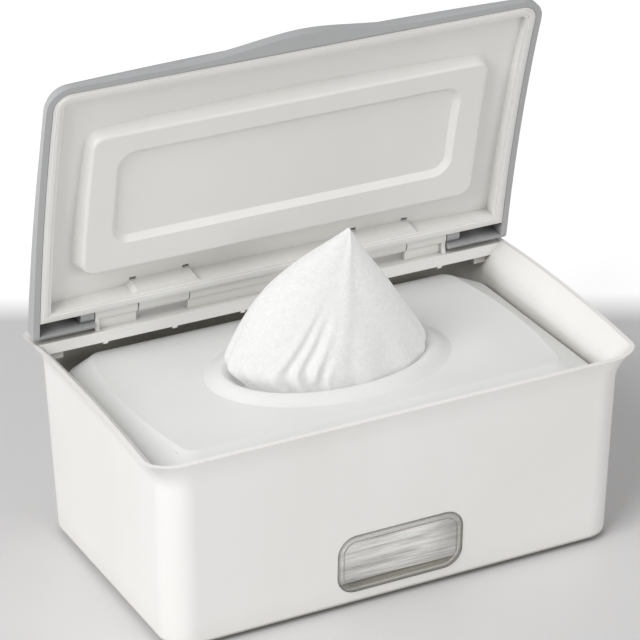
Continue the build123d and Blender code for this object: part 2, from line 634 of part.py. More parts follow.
def seal_ring(rise, depth):
    """Ring along the liner's sealing rim between two heights above the closed lid's gap."""
    outer, inner = LINER_EDGE + SEAL_FROM_EDGE, LINER_EDGE + SEAL_FROM_EDGE + SEAL_WIDTH
    ring = lid_outline(outer, LINER_BACK_Y - SEAL_FROM_EDGE)
    ring -= lid_outline(inner, LINER_BACK_Y - SEAL_FROM_EDGE - SEAL_WIDTH)
    return ring & arched_band(RIM_ARC, LID_GAP + rise, LID_GAP + depth)


# weighted plate

def ellipse_at(grow, z):
    """Outline of the dispensing hole, larger by a distance, at a height."""
    return Pos(0, 0, z) * Ellipse(HOLE_LENGTH / 2 + grow, HOLE_WIDTH / 2 + grow)


def plate_plan(inset=0.0):
    """Outline of the plate with rounded corners."""
    length, width = PLATE_LENGTH - 2 * inset, PLATE_BACK_Y - PLATE_FRONT_Y - 2 * inset
    return Pos(0, PLATE_MIDDLE_Y) * RectangleRounded(length, width, PLATE_CORNER - inset)


def plateau_plan():
    """Outline of the flat top: its left and right sides bow outwards."""
    half = PLATE_LENGTH / 2 - PLATEAU_FROM_END
    end = half - PLATEAU_BOW
    front, back = PLATE_FRONT_Y + PLATEAU_FROM_FRONT, PLATE_BACK_Y - PLATEAU_FROM_BACK
    middle = (front + back) / 2
    edges = [
        Line((-end, front), (end, front)),
        ThreePointArc((end, front), (half, middle), (end, back)),
        Line((end, back), (-end, back)),
        ThreePointArc((-end, back), (-half, middle), (-end, front)),
    ]
    plan = make_face(Wire(edges))
    return fillet(plan.vertices(), PLATEAU_CORNER)


def plate_body(inset, bottom):
    """The plate's skirt and sloped shoulders up to the flat top."""
    skirt = Pos(0, 0, bottom) * extrude(plate_plan(inset), PLATE_EDGE_Z - inset - bottom)
    low = Pos(0, 0, PLATE_EDGE_Z - inset) * plate_plan(inset)
    high = Pos(0, 0, PLATE_TOP_Z - inset) * plateau_plan()
    return skirt + loft([low, high])


def make_ridge():
    """Rounded ridge round the dispensing hole, up to its crest."""
    outer = FUNNEL_REACH + RIDGE_REACH
    steps = ((0, 0), (RIDGE_TOE_OUT, RIDGE_TOE_UP), (RIDGE_HEAD_OUT, RIDGE_HEAD_UP), (1, 1))
    rings = [ellipse_at(outer - out * RIDGE_REACH, PLATE_TOP_Z + up * CREST_HEIGHT) for out, up in steps]
    sunk = ellipse_at(outer, PLATE_TOP_Z - PLATE_WALL / 2)
    return loft(rings) + loft([sunk, rings[0]])


def make_funnel():
    """Smooth space that widens from the throat up to the crest."""
    steps = ((0, 0), (FUNNEL_LOW_OUT, FUNNEL_LOW_UP), (FUNNEL_HIGH_OUT, FUNNEL_HIGH_UP), (1, 1))
    rise = CREST_Z - THROAT_TOP_Z
    funnel = loft([ellipse_at(out * FUNNEL_REACH, THROAT_TOP_Z + up * rise) for out, up in steps])
    low = PLATE_BOTTOM_Z - PLATE_WALL
    return funnel + Pos(0, 0, low) * extrude(Ellipse(HOLE_LENGTH / 2, HOLE_WIDTH / 2), THROAT_TOP_Z - low)


def make_plate_shell():
    """White top of the plate: shoulders, flat top, raised ridge and funnel, open underneath."""
    shell = plate_body(0, PLATE_BOTTOM_Z) - plate_body(PLATE_WALL, PLATE_BOTTOM_Z - PLATE_WALL)
    tube = Ellipse(HOLE_LENGTH / 2 + PLATE_WALL, HOLE_WIDTH / 2 + PLATE_WALL)
    shell += make_ridge() + Pos(0, 0, PLATE_BOTTOM_Z) * extrude(tube, PLATE_TOP_Z - PLATE_BOTTOM_Z)
    shell += mirrored(weight_pocket(WEIGHT_CENTRE_X))
    return shell - make_funnel()


def weight_pocket(x):
    """Rib frame under the flat top that keeps a weight in its place."""
    low = WEIGHT_BOTTOM_Z + WEIGHT_THICKNESS / 2
    height = PLATE_TOP_Z - PLATE_WALL / 2 - low
    length, width = WEIGHT_LENGTH + 2 * COVER_GAP, WEIGHT_WIDTH + 2 * COVER_GAP
    frame = Rectangle(length + 2 * WEIGHT_RIB, width + 2 * WEIGHT_RIB) - Rectangle(length, width)
    frame -= Rectangle(length / 2, 2 * width) + Rectangle(2 * length, width / 2)
    return Pos(x, PLATE_MIDDLE_Y, low) * extrude(frame, height)


def make_plate_cover():
    """White bottom of the plate, let into the skirt round the funnel."""
    plan = plate_plan(PLATE_WALL + COVER_GAP)
    reach = PLATE_WALL + COVER_GAP
    hole = Ellipse(HOLE_LENGTH / 2 + reach, HOLE_WIDTH / 2 + reach)
    return Pos(0, 0, PLATE_BOTTOM_Z) * extrude(plan - hole, COVER_THICKNESS)


def make_weight(side):
    """Steel slab with rounded corners."""
    slab = extrude(RectangleRounded(WEIGHT_LENGTH, WEIGHT_WIDTH, WEIGHT_CORNER), WEIGHT_THICKNESS)
    return Pos(side * WEIGHT_CENTRE_X, PLATE_MIDDLE_Y, WEIGHT_BOTTOM_Z) * slab


# wipes

def make_stack():
    """Folded wipes lying on each other, a rounded slab for each bundle of folds."""
    bottom = STAND + FLOOR
    pitch = (PLATE_BOTTOM_Z - REST_GAP - bottom) / STACK_LAYERS
    front = PLATE_MIDDLE_Y - STACK_WIDTH / 2
    stack = None
    for number in range(STACK_LAYERS):
        z = bottom + number * pitch
        slab = rounded_prism(STACK_LENGTH, front, front + STACK_WIDTH, STACK_CORNER, z, z + pitch)
        rims = [edge for edge in slab.edges() if abs(edge.bounding_box().size.Z) < pitch / 4]
        slab = chamfer(rims, LAYER_ROUND)
        stack = slab if stack is None else stack + slab
    return stack


def fold_ring(centre, half_x, half_y, depth, z):
    """Outline of gathered cloth: outward arcs that meet in creases."""
    creases = []
    for number in range(WIPE_FOLDS):
        angle = 2 * pi * (number + 0.5) / WIPE_FOLDS
        creases.append((centre + (half_x - depth) * cos(angle), (half_y - depth) * sin(angle), z))
    arcs = []
    for number in range(WIPE_FOLDS):
        angle = 2 * pi * (number + 1) / WIPE_FOLDS
        crown = (centre + half_x * cos(angle), half_y * sin(angle), z)
        arcs.append(ThreePointArc(creases[number], crown, creases[(number + 1) % WIPE_FOLDS]))
    return make_face(Wire(arcs))


def make_wipe():
    """One wipe pulled up through the hole: gathered in the throat, domed above it and peaked."""
    throat = HOLE_LENGTH / 2 - WIPE_SLACK, HOLE_WIDTH / 2 - WIPE_SLACK
    rings = [fold_ring(0, *throat, WIPE_FOLD_DEPTH, z) for z in (PLATE_BOTTOM_Z + REST_GAP, THROAT_TOP_Z)]
    half_x = HOLE_LENGTH / 2 + FUNNEL_REACH - WIPE_FROM_CREST_END
    half_y = HOLE_WIDTH / 2 + FUNNEL_REACH - WIPE_FROM_CREST_SIDE
    for number in range(WIPE_RINGS):
        share = WIPE_TIP * number / (WIPE_RINGS - 1)
        spread = 1 - share**2
        centre = WIPE_APEX_X * share**4 - WIPE_LEAN * sin(pi * share)
        z = CREST_Z + share * WIPE_RISE
        rings.append(fold_ring(centre, half_x * spread, half_y * spread, WIPE_FOLD_DEPTH * spread, z))
    return loft(rings, ruled=True)


def main():
    os.makedirs(PARTS, exist_ok=True)
    outside, inside = tub_form(0, STAND), tub_form(WALL, STAND + FLOOR)
    pieces = {
        "tub_shell": make_tub(outside, inside),
        "window_pane": make_window_pane(),
        "window_seal": make_window_seal(),
        "hinge_rail": make_rail(inside),
        "hinge_pin_left": make_pin(-1),
        "hinge_pin_right": make_pin(1),
        "lid_shell": opened(make_lid_shell()),
        "lid_liner": opened(make_liner()),
        "lid_seal": opened(seal_ring(-SEAL_PROUD, SEAL_GROOVE)),
        "plate_shell": make_plate_shell(),
        "plate_cover": make_plate_cover(),
        "plate_weight_left": make_weight(-1),
        "plate_weight_right": make_weight(1),
        "wipes_stack": make_stack(),
        "raised_wipe": make_wipe(),
    }
    for name, x, y in foot_places():
        pieces[name] = foot(x, y)
    for name, piece in pieces.items():
        export_step(piece, f"{PARTS}/{name}.step")


if __name__ == "__main__":
    main()
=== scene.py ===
# Wipes dispenser: finishes for the moulded pieces, a gathered cloth wipe and a layered stack.
# Metres, in the same frame as the model: +Z up, the front towards -Y.
import math

import bmesh
import bpy
import numpy as np
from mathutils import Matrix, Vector, noise


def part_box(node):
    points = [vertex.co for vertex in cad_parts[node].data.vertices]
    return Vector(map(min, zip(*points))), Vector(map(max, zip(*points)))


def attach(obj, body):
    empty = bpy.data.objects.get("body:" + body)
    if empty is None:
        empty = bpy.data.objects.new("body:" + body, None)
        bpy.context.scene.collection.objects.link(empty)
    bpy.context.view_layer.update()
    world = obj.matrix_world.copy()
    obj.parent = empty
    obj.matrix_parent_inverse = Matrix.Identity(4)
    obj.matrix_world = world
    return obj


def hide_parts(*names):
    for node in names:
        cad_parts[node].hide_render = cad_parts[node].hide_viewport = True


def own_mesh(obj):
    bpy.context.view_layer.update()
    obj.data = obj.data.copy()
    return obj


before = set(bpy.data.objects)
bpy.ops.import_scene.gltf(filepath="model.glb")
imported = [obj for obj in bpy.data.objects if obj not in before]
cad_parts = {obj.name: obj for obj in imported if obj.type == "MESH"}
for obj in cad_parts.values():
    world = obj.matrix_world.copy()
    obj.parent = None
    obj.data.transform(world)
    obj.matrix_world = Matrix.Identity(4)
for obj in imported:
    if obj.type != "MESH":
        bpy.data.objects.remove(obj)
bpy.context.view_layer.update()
scene = bpy.context.scene


# camera

CAMERA_PLACE = (-0.60599, -1.15573, 0.74603)
CAMERA_LOOK = (0.41445, 0.79616, -0.44086)
PHOTO_FOCAL = 3300 / 640            # focal length as a share of the photograph's width

camera_data = bpy.data.cameras.new("camera")
camera = bpy.data.objects.new("camera", camera_data)
scene.collection.objects.link(camera)
camera.location = CAMERA_PLACE
camera.rotation_mode = "QUATERNION"
camera.rotation_quaternion = Vector(CAMERA_LOOK).to_track_quat("-Z", "Y")
camera_data.sensor_width = 36
camera_data.lens = 36 * PHOTO_FOCAL
camera_data.clip_start, camera_data.clip_end = 0.05, 50
scene.camera = camera


# node helpers

class Nodes:
    """Builds one node material."""

    def __init__(self, name):
        self.material = bpy.data.materials.new(name)
        self.material.use_nodes = True
        self.tree = self.material.node_tree
        self.shader = self.tree.nodes["Principled BSDF"]
        self.place = self.new("ShaderNodeTexCoord").outputs["Object"]

    def new(self, kind, **values):
        node = self.tree.nodes.new(kind)
        for key, value in values.items():
            setattr(node, key, value)
        return node

    def link(self, a, b):
        self.tree.links.new(a, b)

    def put(self, socket, value):
        if isinstance(value, bpy.types.NodeSocket):
            self.link(value, socket)
        else:
            socket.default_value = value

    def scaled(self, factors):
        node = self.new("ShaderNodeMapping")
        node.inputs["Scale"].default_value = factors
        self.link(self.place, node.inputs["Vector"])
        return node.outputs["Vector"]

    def noise(self, scale, detail=3.0, rough=0.5, place=None, distort=0.0):
        node = self.new("ShaderNodeTexNoise")
        self.link(place or self.place, node.inputs["Vector"])
        node.inputs["Scale"].default_value = scale
        node.inputs["Detail"].default_value = detail
        node.inputs["Roughness"].default_value = rough
        node.inputs["Distortion"].default_value = distort
        return node.outputs["Fac"]

    def math(self, kind, a, b=0.0):
        node = self.new("ShaderNodeMath", operation=kind)
        self.put(node.inputs[0], a)
        self.put(node.inputs[1], b)
        return node.outputs[0]

    def fit(self, value, low, high, to_low, to_high):
        node = self.new("ShaderNodeMapRange")
        self.link(value, node.inputs["Value"])
        for key, number in (("From Min", low), ("From Max", high), ("To Min", to_low), ("To Max", to_high)):
            node.inputs[key].default_value = number
        return node.outputs["Result"]

    def ramp(self, value, stops):
        node = self.new("ShaderNodeValToRGB")
        self.link(value, node.inputs["Fac"])
        ramp = node.color_ramp
        while len(ramp.elements) < len(stops):
            ramp.elements.new(0.5)
        for element, (place, colour) in zip(ramp.elements, stops):
            element.position = place
            element.color = (*colour, 1)
        return node.outputs["Color"]

    def mix(self, share, a, b):
        node = self.new("ShaderNodeMix", data_type="RGBA")
        self.put(node.inputs["Factor"], share)
        for socket, value in ((node.inputs["A"], a), (node.inputs["B"], b)):
            self.put(socket, value if isinstance(value, bpy.types.NodeSocket) else (*value, 1))
        return node.outputs["Result"]

    def bump(self, height, distance, strength=1.0, before=None):
        node = self.new("ShaderNodeBump")
        node.inputs["Strength"].default_value = strength
        node.inputs["Distance"].default_value = distance
        self.link(height, node.inputs["Height"])
        if before is not None:
            self.link(before, node.inputs["Normal"])
        return node.outputs["Normal"]

    def set(self, **values):
        for key, value in values.items():
            self.put(self.shader.inputs[key.replace("_", " ")], value)


FLOW_SCALE = 9.0                    # broad flow marks in moulded plastic
GLOSS_SCALE = 70
GLOSS_SPREAD = 0.05                 # how far the roughness strays to either side
PLASTIC_IOR = 1.49
GAP_CLOSED, GAP_OPEN = 0.10, 0.56   # shares of open sky at which a gap is fully shaded, and not at all


def moulded(name, colour, dark, rough, grain=1000, grain_depth=0.000008, painted_shade=None, reach=0.010):
    """Moulded plastic: spark-eroded grain, faint flow marks, uneven gloss, and painted shade that darkens the
    colour in narrow gaps.
    """
    n = Nodes(name)
    flow = n.noise(FLOW_SCALE, 4, 0.55, n.scaled((1, 1, 0.4)), 0.6)
    skin = n.mix(n.fit(flow, 0.35, 0.65, 0, 1), colour, dark)
    # Painted shade: where little open sky reaches within reach, the colour turns to the shade colour, as shade
    # falls in gaps and under parts.
    if painted_shade:
        open_to_light = n.new("ShaderNodeAmbientOcclusion", samples=8)
        open_to_light.inputs["Distance"].default_value = reach
        skin = n.mix(n.fit(open_to_light.outputs["AO"], GAP_CLOSED, GAP_OPEN, 0, 1), painted_shade, skin)
    n.set(Base_Color=skin, IOR=PLASTIC_IOR)
    n.set(Roughness=n.fit(n.noise(GLOSS_SCALE, 3), 0.3, 0.7, rough - GLOSS_SPREAD, rough + GLOSS_SPREAD))
    n.set(Normal=n.bump(n.noise(grain, 2, 0.6), grain_depth, 0.5))
    return n.material


def linear(*srgb):
    """Linear colour of 8-bit sRGB values."""
    return tuple(c / 12.92 if c <= 0.04045 else ((c + 0.055) / 1.055) ** 2.4 for c in (v / 255 for v in srgb))


# Painted shade: each plastic below that is given a shade colour turns to it in narrow gaps and crevices, such
# as the gap under the hinge rail.
PAINTED_GAP_SHADE = linear(128, 124, 110)
tub_white = moulded(
    "tub_white", linear(238, 236, 234), linear(233, 231, 228), 0.36, painted_shade=PAINTED_GAP_SHADE, reach=0.032
)
rail_white = moulded(
    "rail_white", linear(236, 235, 232), linear(230, 229, 225), 0.38, painted_shade=linear(160, 157, 146)
)
liner_white = moulded(
    "liner_white", linear(231, 230, 227), linear(226, 225, 221), 0.36, painted_shade=linear(176, 174, 168)
)
plate_white = moulded("plate_white", linear(230, 231, 230), linear(225, 226, 224), 0.38)
cover_white = moulded("cover_white", linear(228, 228, 226), linear(222, 222, 219), 0.42)
lid_grey = moulded(
    "lid_grey", linear(178, 179, 180), linear(172, 173, 174), 0.40, 900, 0.000014, painted_shade=linear(96, 96, 97)
)
seal_grey = moulded("seal_grey", linear(206, 207, 207), linear(198, 199, 199), 0.62, 900, 0.00002)
seal_white = moulded("seal_white", linear(232, 231, 229), linear(226, 225, 222), 0.55, 900, 0.00001)
foot_rubber = moulded("foot_rubber", linear(92, 92, 92), linear(80, 80, 81), 0.75, 900, 0.00004)


def drawn_steel(name, colour, rough):
    """Steel with fine lines along X and a few darker rubbed places."""
    n = Nodes(name)
    lines = n.noise(60, 3, 0.6, n.scaled((1, 60, 60)))
    rub = n.noise(120, 4)
    n.set(Base_Color=n.mix(n.fit(rub, 0.4, 0.7, 0, 1), colour, tuple(0.8 * c for c in colour)))
    n.set(Metallic=1.0, Roughness=n.fit(lines, 0.3, 0.7, rough - 0.08, rough + 0.1))
    n.set(Normal=n.bump(lines, 0.00002, 0.3))
    return n.material


pin_steel = drawn_steel("pin_steel", linear(196, 197, 199), 0.24)
weight_steel = drawn_steel("weight_steel", linear(150, 150, 152), 0.42)


PANE_HALF_LENGTH, PANE_HALF_HEIGHT = 0.0307, 0.0140
PANE_CORNER = 0.0087
PANE_BAND = 0.004                   # from the pane's edge over its raised band to the clear field
WALL_LEAN = 0.0288                  # slope of the tub's front wall
PANE_FRONT = (0.0018, 0.0022)       # depths in the pane between which the drawn edge ends


def pane_clear():
    """Clear moulded plastic: a dark edge, a paler band, an inner line, then the clear field."""
    n = Nodes("pane_clear")
    low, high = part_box("window_pane")
    middle = (low + high) / 2
    split = n.new("ShaderNodeSeparateXYZ")
    n.link(n.place, split.inputs["Vector"])

    def beyond(value, centre, half):
        away = n.math("ABSOLUTE", n.math("SUBTRACT", value, centre))
        return n.math("MAXIMUM", n.math("SUBTRACT", away, half), 0.0)

    out_x = beyond(split.outputs["X"], middle.x, PANE_HALF_LENGTH - PANE_CORNER)
    out_z = beyond(split.outputs["Z"], middle.z, PANE_HALF_HEIGHT - PANE_CORNER)
    squares = n.math("ADD", n.math("POWER", out_x, 2.0), n.math("POWER", out_z, 2.0))
    inside = n.math("SUBTRACT", PANE_CORNER, n.math("SQRT", squares))
    share = n.fit(inside, 0, PANE_BAND, 0, 1)
    tint = n.ramp(share, [
        (0.0, linear(120, 119, 114)), (0.14, linear(134, 132, 127)), (0.24, linear(204, 203, 199)),
        (0.60, linear(200, 198, 193)), (0.68, linear(136, 128, 114)), (0.76, linear(160, 152, 140)),
        (0.84, linear(236, 236, 234)),
    ])
    veil = n.ramp(share, [
        (0.0, (0.80,) * 3), (0.14, (0.62,) * 3), (0.24, (0.20,) * 3), (0.60, (0.20,) * 3),
        (0.68, (0.60,) * 3), (0.76, (0.35,) * 3), (0.86, (0.05,) * 3),
    ])
    lean = n.math("MULTIPLY", n.math("SUBTRACT", split.outputs["Z"], middle.z), WALL_LEAN)
    depth = n.math("SUBTRACT", n.math("ADD", split.outputs["Y"], lean), low.y)
    behind = n.fit(depth, *PANE_FRONT, 0, 1)
    n.set(Base_Color=tint, Alpha=n.mix(behind, veil, (0.03,) * 3))
    n.set(Roughness=n.fit(n.noise(90, 2), 0.3, 0.7, 0.06, 0.12), IOR=PLASTIC_IOR)
    n.set(Normal=n.bump(n.noise(60, 2), 0.00006, 0.5))
    return n.material


def wipe_white():
    """Wet non-woven cloth: matted fibres that mottle it finely, and soft thin places."""
    n = Nodes("wipe_cloth")
    fibre_a = n.noise(620, 5, 0.65, n.scaled((1.0, 1.0, 0.55)), 1.2)
    fibre_b = n.noise(800, 4, 0.65, n.scaled((0.6, 1.0, 1.0)), 1.0)
    fibres = n.math("ADD", fibre_a, fibre_b)
    thin = n.noise(150, 4, 0.6)
    mottle = n.mix(n.fit(fibres, 0.8, 1.2, 0, 1), linear(192, 192, 191), linear(206, 206, 205))
    n.set(Base_Color=n.mix(n.fit(thin, 0.35, 0.7, 0, 0.5), mottle, linear(197, 197, 196)))
    n.set(Roughness=n.fit(fibre_a, 0.3, 0.7, 0.75, 0.92), Specular_IOR_Level=0.3)
    n.set(Subsurface_Weight=0.15, Subsurface_Scale=0.001, Subsurface_Radius=(1.0, 0.95, 0.9))
    # Painted light: the faint emission makes the cloth glow, standing in for light passing through the thin
    # wet sheet.
    n.set(Emission_Color=(1, 1, 0.99, 1), Emission_Strength=0.24)
    matted = n.bump(fibres, 0.00016, 0.6)
    n.set(Normal=n.bump(thin, 0.0005, 0.4, matted))
    return n.material


def folded_white():
    """Edges of folded wipes: pale sheets with long uneven shadows between them."""
    n = Nodes("folded_cloth")
    wavy = n.noise(1, 3, 0.6, n.scaled((14, 14, 210)), 0.35)
    sheets = n.noise(1, 3, 0.7, n.scaled((25, 25, 620)), 0.2)
    streaks = n.math("ADD", n.math("MULTIPLY", wavy, 0.72), n.math("MULTIPLY", sheets, 0.28))
    n.set(Base_Color=n.ramp(streaks, [
        (0.36, linear(140, 136, 131)), (0.44, linear(192, 189, 185)),
        (0.52, linear(232, 231, 228)), (0.64, linear(250, 250, 249)),
    ]))
    n.set(Roughness=n.fit(sheets, 0.3, 0.7, 0.75, 0.9), Specular_IOR_Level=0.3)
    # Painted light: the faint emission makes the folded cloth glow, standing in for light reaching the stack
    # through the window.
    n.set(Emission_Color=(1, 0.99, 0.98, 1), Emission_Strength=0.17)
    n.set(Normal=n.bump(streaks, 0.0009, 0.6))
    return n.material


wipe_cloth = wipe_white()
stack_cloth = folded_white()


# finishes of the moulded pieces

FINISHES = {
    "tub_shell": tub_white,
    "window_pane": pane_clear(),
    "window_seal": seal_grey,
    "hinge_rail": rail_white,
    "hinge_pin_left": pin_steel,
    "hinge_pin_right": pin_steel,
    "lid_shell": lid_grey,
    "lid_liner": liner_white,
    "lid_seal": seal_white,
    "plate_shell": plate_white,
    "plate_cover": cover_white,
    "plate_weight_left": weight_steel,
    "plate_weight_right": weight_steel,
    "foot_front_left": foot_rubber,
    "foot_back_left": foot_rubber,
    "foot_front_right": foot_rubber,
    "foot_back_right": foot_rubber,
}
for node, material in FINISHES.items():
    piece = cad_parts[node]
    piece.data.materials.clear()
    piece.data.materials.append(material)


def new_piece(name, mesh, material, body):
    """A shown piece that rides on a body."""
    obj = bpy.data.objects.new(name, mesh)
    scene.collection.objects.link(obj)
    mesh.materials.append(material)
    for face in mesh.polygons:
        face.use_smooth = True
    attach(obj, body)
    return obj


# raised wipe

PLATE_TOP = 0.0847
CREST = PLATE_TOP + 0.0028          # top of the ridge round the hole
WIPE_FOOT = 0.0738
WIPE_RISE = 0.0605
WIPE_APEX = CREST + WIPE_RISE
LEAVE = 0.0935                      # below this height the funnel draws the cloth in
CLOTH_HALF_WIDTH = 0.0264           # half of it front to back, where nothing narrows it
FUNNEL_DRAW = 0.0060                # what the funnel takes off that at the foot
EDGE_BLUR = 0.003                   # the edges are averaged over this much height to either side
SOFT_DEPTH = 0.0007                 # unevenness of the cloth
RIDGE_DEPTH, RIDGE_WIDTH = 0.0013, 0.16
CLOTH_THICKNESS = 0.0004
LEAST_HALF = 0.004                  # keeps the folds shallow near the peak
CLOTH_AROUND, CLOTH_UP = 260, 120   # points round the cloth, and steps from foot to peak
PEAK_GAP = 0.0003                   # the cloth ends this far under the point it narrows to

# Height, left edge and right edge of the gathered cloth.
CLOTH_EDGES = [
    (0.0738, -0.0330, 0.0370), (0.0790, -0.0370, 0.0420), (0.0830, -0.0405, 0.0455), (0.0875, -0.0452, 0.0474),
    (0.0905, -0.0486, 0.0466), (0.0940, -0.0502, 0.0450), (0.1000, -0.0474, 0.0417), (0.1060, -0.0444, 0.0377),
    (0.1120, -0.0410, 0.0340), (0.1200, -0.0350, 0.0289), (0.1270, -0.0278, 0.0240), (0.1340, -0.0172, 0.0188),
    (0.1400, -0.0055, 0.0148), (0.1440, 0.0035, 0.0121), (0.1480, 0.0100, 0.0100),
]


def cloth_spread(z):
    """Half length, half width and middle of the gathered cloth at a height, in metres."""
    reach = min(EDGE_BLUR, WIPE_APEX - z)
    around = np.linspace(z - reach, z + reach, 7)
    heights, lefts, rights = zip(*CLOTH_EDGES)
    left, right = (float(np.interp(around, heights, edge).mean()) for edge in (lefts, rights))
    share = min(1.0, max(0.0, z - CREST) / WIPE_RISE)
    low = (max(0.0, LEAVE - z) / (LEAVE - WIPE_FOOT)) ** 2.4
    half_width = CLOTH_HALF_WIDTH * (1 - share**1.7) - FUNNEL_DRAW * low
    return (right - left) / 2, half_width, (left + right) / 2


def between(stops, value):
    """Straight interpolation in (place, value) stops."""
    places, values = zip(*stops)
    return float(np.interp(value, places, values))


# Folds on the front: (share of the rise, place across the cloth) stops, then depth, width and the share
# of the rise at which it ends.
FOLDS = [
    ([(-0.3, -0.70), (0.0, -0.655), (0.12, -0.60), (0.3, -0.46), (0.41, -0.37), (0.62, -0.22)],
     0.0028, 0.058, 0.62),
    ([(-0.3, -0.53), (0.0, -0.490), (0.17, -0.43), (0.31, -0.32), (0.45, -0.22), (0.7, -0.14)],
     0.0034, 0.055, 0.56),
    ([(-0.3, -0.45), (0.0, -0.390), (0.10, -0.30), (0.2, -0.22)], 0.0028, 0.042, 0.22),
    ([(-0.3, -0.12), (0.0, -0.050), (0.28, 0.05), (0.5, 0.16), (1.0, 0.30)], 0.0006, 0.080, 0.60),
    ([(-0.3, 0.30), (0.0, 0.37), (0.3, 0.47), (0.6, 0.52)], 0.0009, 0.130, 0.40),
    ([(-0.3, 0.74), (0.0, 0.76), (0.25, 0.66)], 0.0009, 0.090, 0.25),
    ([(-0.3, -0.92), (0.0, -0.90), (0.2, -0.86)], 0.0010, 0.070, 0.25),
]
BACK_FOLDS = [
    ([(-0.3, -0.62), (0.0, -0.58), (0.5, -0.30)], 0.0030, 0.100, 0.65),
    ([(-0.3, -0.20), (0.0, -0.18), (0.5, 0.02)], 0.0026, 0.090, 0.75),
    ([(-0.3, 0.22), (0.0, 0.25), (0.5, 0.30)], 0.0030, 0.100, 0.70),
    ([(-0.3, 0.66), (0.0, 0.62), (0.5, 0.52)], 0.0022, 0.090, 0.50),
]
# Pleats round the ends of the cloth: angle at the hole, how far it leans as it rises, depth, width and top.
SIDE_PLEATS = [
    (0.52, 0.25, 0.0020, 0.12, 0.62), (0.10, 0.15, 0.0014, 0.09, 0.45), (-0.33, -0.20, 0.0014, 0.10, 0.40),
    (2.55, -0.30, 0.0020, 0.11, 0.66), (2.98, 0.10, 0.0015, 0.09, 0.50), (3.42, 0.10, 0.0012, 0.09, 0.35),
]


def fading(share, top):
    """How strong a fold still is at a share of the cloth's rise: it ends at its top."""
    if share > top:
        return 0.0
    return math.cos(0.5 * math.pi * max(0.0, share) / top) ** 1.2


def groove(gap):
    """Profile across a fold: a valley with a low swell on either side."""
    return math.exp(-gap * gap) - 0.40 * math.exp(-((abs(gap) - 1.7) ** 2) / 0.8)


def fold_depth(folds, across, share):
    """How far the folds draw the cloth in."""
    depth = 0.0
    for stops, deep, width, top in folds:
        depth += deep * fading(share, top) * groove((across - between(stops, share)) / width)
    return depth


def pleat_depth(pleat, angle, share):
    """How far one pleat at an end draws the cloth in."""
    place, lean, deep, width, top = pleat
    turn = (angle - place - lean * share + math.pi) % (2 * math.pi) - math.pi
    return deep * fading(share, top) * groove(turn / width)


# Where the ridge lies across the cloth as it rises.
CREASE = [(0.0, -0.10), (0.3, -0.02), (0.5, 0.07), (0.75, 0.20), (1.0, 0.34)]


def ridge_height(across, share):
    """How far the soft ridge that runs from the peak down the front stands out."""
    if share <= 0:
        return 0.0
    away = (across - between(CREASE, share)) / RIDGE_WIDTH
    return RIDGE_DEPTH * math.exp(-(away**2)) * math.sin(math.pi * min(1, share)) ** 0.5


def cloth_point(angle, z):
    """A point of the cloth's outer face."""
    half_x, half_y, middle = cloth_spread(z)
    share = (z - CREST) / WIPE_RISE
    across, out = math.cos(angle), math.sin(angle)
    front = out < 0
    edge = 1 - abs(across) ** 6
    drawn = fold_depth(FOLDS if front else BACK_FOLDS, across, share) * edge
    for pleat in SIDE_PLEATS:
        drawn += pleat_depth(pleat, angle, share)
    soft = noise.noise(Vector((across * 2.1, out * 1.3, z * 32))) * SOFT_DEPTH * min(1, (1.02 - share) * 3)
    x = middle + half_x * across * (1 + (soft - drawn * across**2) / max(half_x, LEAST_HALF))
    y = half_y * out * (1 + (soft - drawn) / max(half_y, LEAST_HALF) * 0.9)
    if front:
        y -= ridge_height(across, share)
    return Vector((x, y, z))


def make_wipe():
    """The raised half of a wipe: a thin sheet gathered in the hole and peaked at the top."""
    around = CLOTH_AROUND
    mesh = bpy.data.meshes.new("raised_wipe_cloth")
    bm = bmesh.new()
    rings = []
    for row in range(CLOTH_UP + 1):
        share = row / CLOTH_UP
        z = WIPE_FOOT + (WIPE_APEX - PEAK_GAP - WIPE_FOOT) * (1 - (1 - share) ** 1.15)
        rings.append([bm.verts.new(cloth_point(2 * math.pi * k / around, z)) for k in range(around)])
    for low, high in zip(rings, rings[1:]):
        for k in range(around):
            bm.faces.new((low[k], low[(k + 1) % around], high[(k + 1) % around], high[k]))
    bm.normal_update()
    bm.to_mesh(mesh)
    bm.free()
    obj = new_piece("raised_wipe_cloth", mesh, wipe_cloth, "plate")
    area = sum(face.area for face in mesh.polygons)
    thick = obj.modifiers.new("thickness", "SOLIDIFY")
    thick.thickness, thick.offset = CLOTH_THICKNESS, -1
    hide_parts("raised_wipe")
    return obj, area


wipe, wipe_area = make_wipe()
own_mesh(wipe)


# stack of folded wipes

STACK_CORNER = 0.005
STACK_STEP = 0.0016                 # from point to point round the outline
STACK_ROWS = 250
BUNDLES = 15                        # folded wipes in the stack
LEAVES = 4                          # layers in each
WAVE_HEIGHT = 0.0011                # how far the bundles wave up and down
SHIFT_DEPTH = 0.0010                # how far they lie out of line
SIDE_INSET, LEAST_INSET = 0.0021, 0.0002
BUNDLE_BULGE, LEAF_BULGE = 0.0012, 0.0005


